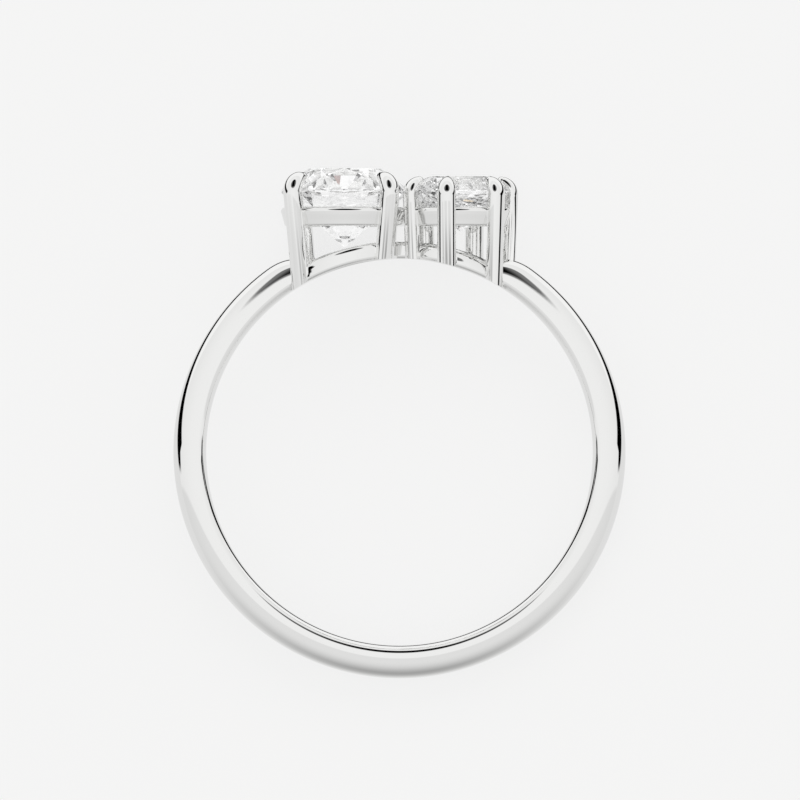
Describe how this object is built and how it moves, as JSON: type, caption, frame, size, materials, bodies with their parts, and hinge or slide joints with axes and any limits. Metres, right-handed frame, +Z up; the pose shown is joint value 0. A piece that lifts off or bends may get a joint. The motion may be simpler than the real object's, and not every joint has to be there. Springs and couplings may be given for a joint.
{
  "type": "toi et moi ring",
  "caption": "Slim polished finger ring with a round brilliant and a smaller oval stone side by side in open claw baskets, lying on its side as it rests on a surface.",
  "frame": {"origin": "on the surface that the ring lies on, under the middle of its bounding box", "axes": "+Z up from the surface, +Y towards the stones in the plane of the surface, +X to the right of the stones as seen from above"},
  "size_m": [0.0192, 0.0218, 0.0056],
  "materials": {
    "white_gold": "bright polished white metal",
    "stone": "clear, with polished facets"
  },
  "bodies": {
    "root": {"mounting": "white_gold", "round_stone": "stone", "oval_stone": "stone"}
  },
  "joints": []
}
